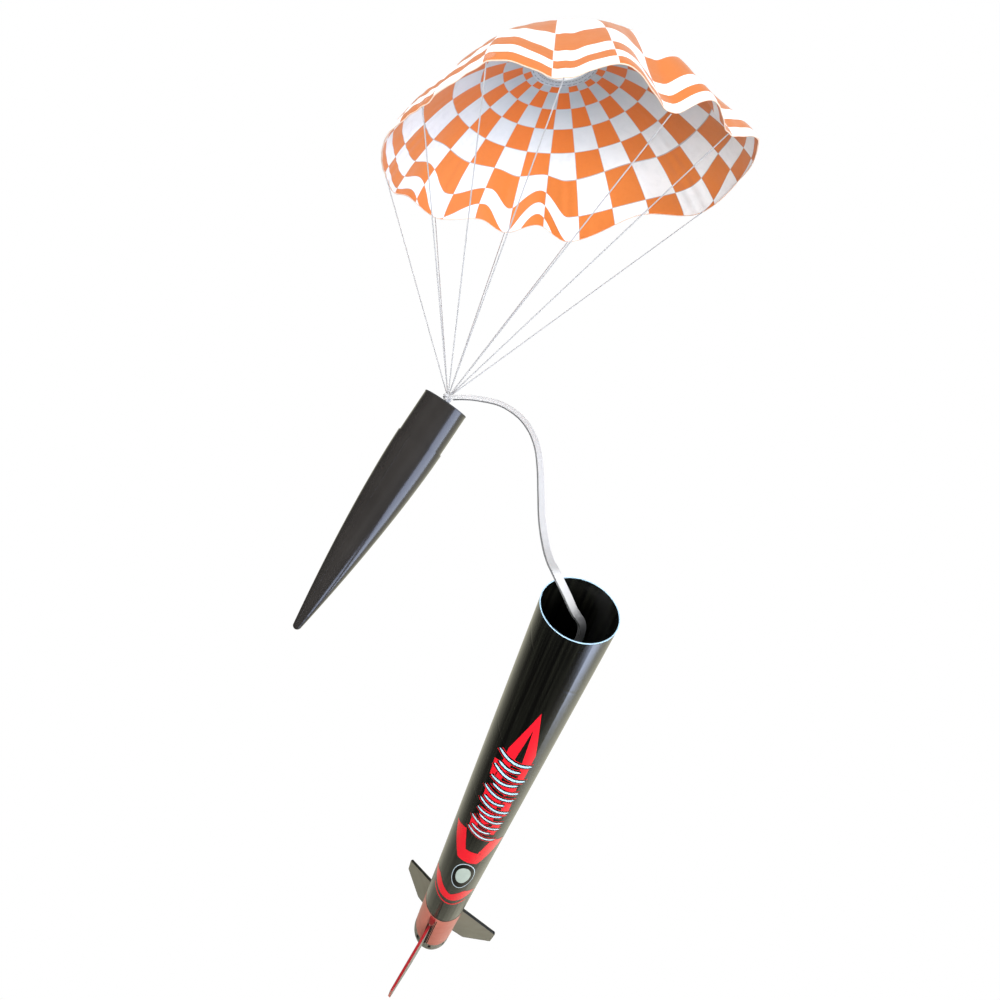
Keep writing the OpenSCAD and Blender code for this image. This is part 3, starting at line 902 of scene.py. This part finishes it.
# lower print: a plain V, then a curved band and a thin stripe, with a round disc between them
fill("print_vee", [[(266, 157), (300, 151), (316, 170), (344, 170), (360, 151), (394, 157), (354, 184),
                    (306, 184)]], RED_LIFT, LOOK["red"])
fill("print_bands", [band(curved([(264, 227), (300, 237), (336, 240), (374, 229)]), 9),
                     band(curved([(272, 243), (305, 249.5), (340, 251), (374, 244)]), 1.5, taper=True)],
     RED_LIFT, LOOK["red"])
DISC = (336, 204)
fill("print_disc_ring", [oval(DISC, 26, 18), oval(DISC, 24.6, 17)], GAP_LIFT, LOOK["silver"])
fill("print_disc_edge", [oval(DISC, 24.6, 17)], EDGE_LIFT, LOOK["ink_black"])
fill("print_disc", [oval((336, 203), 17, 11)], DISC_LIFT, LOOK["disc"])

# dark joints: along the wrap, beside the front fin, and between the tube and the fin can
JOINT_LIFT = 0.04
fill("wrap_joint", [band([(321.5, 252), (321.5, 285.6)], 0.5)], JOINT_LIFT, LOOK["ink_black"])
for k, a in enumerate((322.4, 326.4)):
    fill(f"can_joint_{k}", [band([(a, 291), (a, 342.6)], 0.55)], JOINT_LIFT, LOOK["ink_black"])
ring_on_tube("can_seam", 285.7, 286.3, 12.2, 12.44, LOOK["fin_edge"])


def pad_on_tube(name, a0, a1, s0, s1, lift, material):
    """A raised pad with rounded edges on the fin can."""
    verts, faces = [], []
    steps = 12
    insets = [(0.0, -0.1), (0.0, lift * 0.6), (0.25, lift * 0.92), (0.7, lift)]
    for inset, height in insets:
        da = math.degrees(inset / TUBE_R)
        for k in range(steps + 1):
            verts.append(on_tube(a0 + da + (a1 - a0 - 2 * da) * k / steps, s0 + inset, height))
        for k in range(steps + 1):
            verts.append(on_tube(a1 - da - (a1 - a0 - 2 * da) * k / steps, s1 - inset, height))
    n = 2 * (steps + 1)
    for level in range(len(insets) - 1):
        for k in range(n):
            m = (k + 1) % n
            b = level * n
            faces.append([b + k, b + n + k, b + n + m, b + m])
    b = (len(insets) - 1) * n
    for k in range(steps):
        faces.append([b + k, b + n - 1 - k, b + n - 2 - k, b + k + 1])
    return make(name, verts, faces, material, "airframe")


pad_on_tube("fin_block", 305, 322, 288, 301, 0.8, LOOK["can_dark"])

# black ovals sunk a little in the lock ring's grip slots: painted shade in the slots
GRIPS, GRIP_ANGLE, GRIP_S, GRIP_SINK = 8, 22.5, 347.7, 0.08
grip_shade_ovals = [oval((GRIP_ANGLE + 360 / GRIPS * k, GRIP_S), 4.6, 3.3, 24) for k in range(GRIPS)]
fill("grip_slot_painted_shade", grip_shade_ovals, -GRIP_SINK, LOOK["fin_edge"], body="tail_ring")


# ---------- fins: caps along their edges and beads at their roots ----------

FINS = (("front", -46.6), ("right", 73.4), ("left", 193.4))
# stretches of a fin's edge, as places (millimetres behind the mouth, and out from the axis)
LEADING = ((304.4, 12.6), (348.8, 42.6))
TIP = ((349.2, 42.7), (366.6, 42.7))
BACK = ((366.8, 42.3), (364.9, 23.2))
BACK_ROOT = ((364.4, 22.6), (351.4, 13.4))
CAP_THICK = 1.75
# degrees from a fin's middle to the bead or pad on either side of its root, and where each runs
ROOT_TURN, BEAD_S, PAD_S = 5.4, range(302, 343, 4), (303, 342.4)
# a pad's half width in degrees, and its height
PAD_HALF, PAD_HEIGHT = 1.6, 0.35


def fin_cap(name, fin_angle, points, width, material):
    """A rounded cap along part of a fin's edge."""
    a = math.radians(fin_angle)
    radial = Vector((math.cos(a), math.sin(a), 0))
    normal = AIRFRAME.to_3x3() @ Vector((-math.sin(a), math.cos(a), 0))
    path = [AIRFRAME @ ((radial * r + Vector((0, 0, -s))) * MM) for s, r in points]
    verts, faces, uvs = swept(path, CAP_THICK * MM, width * MM, 10, lambda d: normal.normalized(), 0.7)
    return make(name, verts, faces, material, "airframe", uvs)


def between(ends, n=10):
    """Points spaced evenly along a straight stretch."""
    p, q = ends
    return [(p[0] + (q[0] - p[0]) * k / n, p[1] + (q[1] - p[1]) * k / n) for k in range(n + 1)]


for label, angle in FINS:
    for side, side_name in ((-1, "left"), (1, "right")):
        root = [on_tube(angle + ROOT_TURN * side, s, 0.25) for s in BEAD_S]
        verts, faces, uvs = swept(root, 1.0 * MM, 0.9 * MM, 8, steady)
        make(f"fin_{label}_root_{side_name}", verts, faces, LOOK["fin_edge"], "airframe", uvs)
for label, angle in FINS:
    lead, tip = ("fin_red", "can") if label == "front" else ("fin_edge", "fin")
    fin_cap(f"fin_{label}_leading", angle, between(LEADING), 0.7, LOOK[lead])
    fin_cap(f"fin_{label}_tip", angle, between(TIP), 0.8, LOOK[tip])
    fin_cap(f"fin_{label}_back", angle, between(BACK, 6) + between(BACK_ROOT, 6), 0.8, LOOK["fin_edge"])
    if label != "front":
        for side, side_name in ((-1, "a"), (1, "b")):
            middle = angle + ROOT_TURN * side
            pad_on_tube(f"fin_{label}_root_{side_name}", middle - PAD_HALF, middle + PAD_HALF, *PAD_S,
                        PAD_HEIGHT, LOOK["fin_edge"])


# ---------- nose cone: mould seams and the rim of its shoulder ----------

# the cone from its step to its tip: base radius, tip radius, length and power of the curve
NOSE_R, NOSE_TIP_R, NOSE_LEN, NOSE_POWER = 12.4, 2.2, 109.8, 1.62
SHOULDER_LEN = 23
# how long a seam is, how deep its middle lies under the surface, and its steps
SEAM_LEN, SEAM_SINK, SEAM_STEPS = 109.5, 0.06, 60


def nose_r(d):
    """Radius of the cone d millimetres from its step."""
    return NOSE_TIP_R + (NOSE_R - NOSE_TIP_R) * (1 - (d / NOSE_LEN) ** NOSE_POWER)


for k, angle in enumerate((72, 252)):
    along = [SEAM_LEN * i / SEAM_STEPS for i in range(SEAM_STEPS + 1)]
    seam = [on_nose(angle, nose_r(d) - SEAM_SINK, -SHOULDER_LEN - d) for d in along]
    verts, faces, uvs = swept(seam, 0.34 * MM, 0.26 * MM, 8, steady)
    make(f"nose_seam_{k}", verts, faces, LOOK["nose"], "nose", uvs)

verts, faces = turned([(11.2, -0.5), (11.2, 0.06), (11.96, 0.06), (11.96, -0.5)], on_nose)
make("nose_lip", verts, faces, LOOK["base"], "nose", smooth=False)


# ---------- light and stage ----------

def floor_look():
    """Pure white to the camera, and a dull grey to the light that reaches it."""
    pale = Nodes("floor_pale")
    shine = pale.add("ShaderNodeEmission")
    shine.inputs["Strength"].default_value = 1.0
    dull = pale.add("ShaderNodeBsdfDiffuse")
    dull.inputs["Color"].default_value = rgb(0.42, 0.42, 0.42)
    path = pale.add("ShaderNodeLightPath")
    both = pale.add("ShaderNodeMixShader")
    pale.link(path.outputs["Is Camera Ray"], both.inputs[0])
    pale.link(dull.outputs[0], both.inputs[1])
    pale.link(shine.outputs[0], both.inputs[2])
    pale.link(both.outputs[0], pale.output.inputs["Surface"])
    return pale.material


FLOOR_HALF, FLOOR_Z = 14.0, -0.62
floor_mesh = bpy.data.meshes.new("floor")
corners = [(x * FLOOR_HALF, y * FLOOR_HALF, FLOOR_Z) for x, y in ((-1, -1), (1, -1), (1, 1), (-1, 1))]
floor_mesh.from_pydata(corners, [], [[0, 1, 2, 3]])
floor_mesh.materials.append(floor_look())
floor = bpy.data.objects.new("floor", floor_mesh)
floor.visible_glossy = False
bpy.context.scene.collection.objects.link(floor)


def studio():
    """A world that is white to the camera, pale to matt surfaces, and a warm wall to gloss."""
    world = bpy.data.worlds.new("studio")
    bpy.context.scene.world = world
    world.use_nodes = True
    tree = world.node_tree
    tree.nodes.clear()

    def add(kind, **values):
        node = tree.nodes.new(kind)
        for key, value in values.items():
            setattr(node, key, value)
        return node

    def background(color, strength):
        node = add("ShaderNodeBackground")
        node.inputs["Color"].default_value = color
        node.inputs["Strength"].default_value = strength
        return node

    white = background(rgb(1, 1, 1), 1.0)
    ambient = background(rgb(0.96, 0.98, 1.0), 1.0)
    gloss = background(rgb(0, 0, 0), 1.1)
    # gloss sees dark towards the camera's side and the floor, and a warm pale wall behind
    where = add("ShaderNodeTexCoord")
    parts = add("ShaderNodeSeparateXYZ")
    tree.links.new(where.outputs["Generated"], parts.inputs[0])
    side = add("ShaderNodeMath", operation="MULTIPLY_ADD")
    tree.links.new(parts.outputs[0], side.inputs[0])
    side.inputs[1].default_value = 0.6
    tree.links.new(parts.outputs[1], side.inputs[2])
    wall = add("ShaderNodeMapRange", interpolation_type="SMOOTHSTEP")
    for socket, number in zip(wall.inputs[1:5], (0.10, 0.85, 0.03, 1.0)):
        socket.default_value = number
    tree.links.new(side.outputs[0], wall.inputs[0])
    tint = add("ShaderNodeMix", data_type="RGBA")
    tint.inputs[6].default_value = rgb(0.0, 0.0, 0.0)
    tint.inputs[7].default_value = rgb(0.80, 0.78, 0.62)
    tree.links.new(wall.outputs[0], tint.inputs[0])
    tree.links.new(tint.outputs[2], gloss.inputs["Color"])
    ray = add("ShaderNodeLightPath")
    matt_or_gloss, seen = add("ShaderNodeMixShader"), add("ShaderNodeMixShader")
    tree.links.new(ray.outputs["Is Glossy Ray"], matt_or_gloss.inputs[0])
    tree.links.new(ambient.outputs[0], matt_or_gloss.inputs[1])
    tree.links.new(gloss.outputs[0], matt_or_gloss.inputs[2])
    tree.links.new(ray.outputs["Is Camera Ray"], seen.inputs[0])
    tree.links.new(matt_or_gloss.outputs[0], seen.inputs[1])
    tree.links.new(white.outputs[0], seen.inputs[2])
    tree.links.new(seen.outputs[0], add("ShaderNodeOutputWorld").inputs["Surface"])


studio()


def softbox(name, at, towards, wide, high, watts, color=(1, 1, 1), seen_in_gloss=False):
    """A rectangular lamp, sizes in metres."""
    data = bpy.data.lights.new(name, "AREA")
    data.shape = "RECTANGLE"
    data.size, data.size_y = wide, high
    data.energy = watts
    data.color = color
    lamp = bpy.data.objects.new(name, data)
    lamp.location = at
    lamp.rotation_euler = (Vector(towards) - Vector(at)).to_track_quat("-Z", "Y").to_euler()
    lamp.visible_glossy = seen_in_gloss
    bpy.context.scene.collection.objects.link(lamp)


softbox("key_light", (-0.9, -1.3, 0.7), (0, 0, -0.15), 0.9, 0.9, 14)
softbox("fill_light", (0.1, -0.8, -0.585), (0, 0.05, -0.03), 0.9, 0.5, 16)
softbox("side_strip", (0.50, -0.10, -0.72), (-0.092, -0.0155, -0.229), 0.6, 0.9, 10, (0.62, 0.72, 1.0), True)
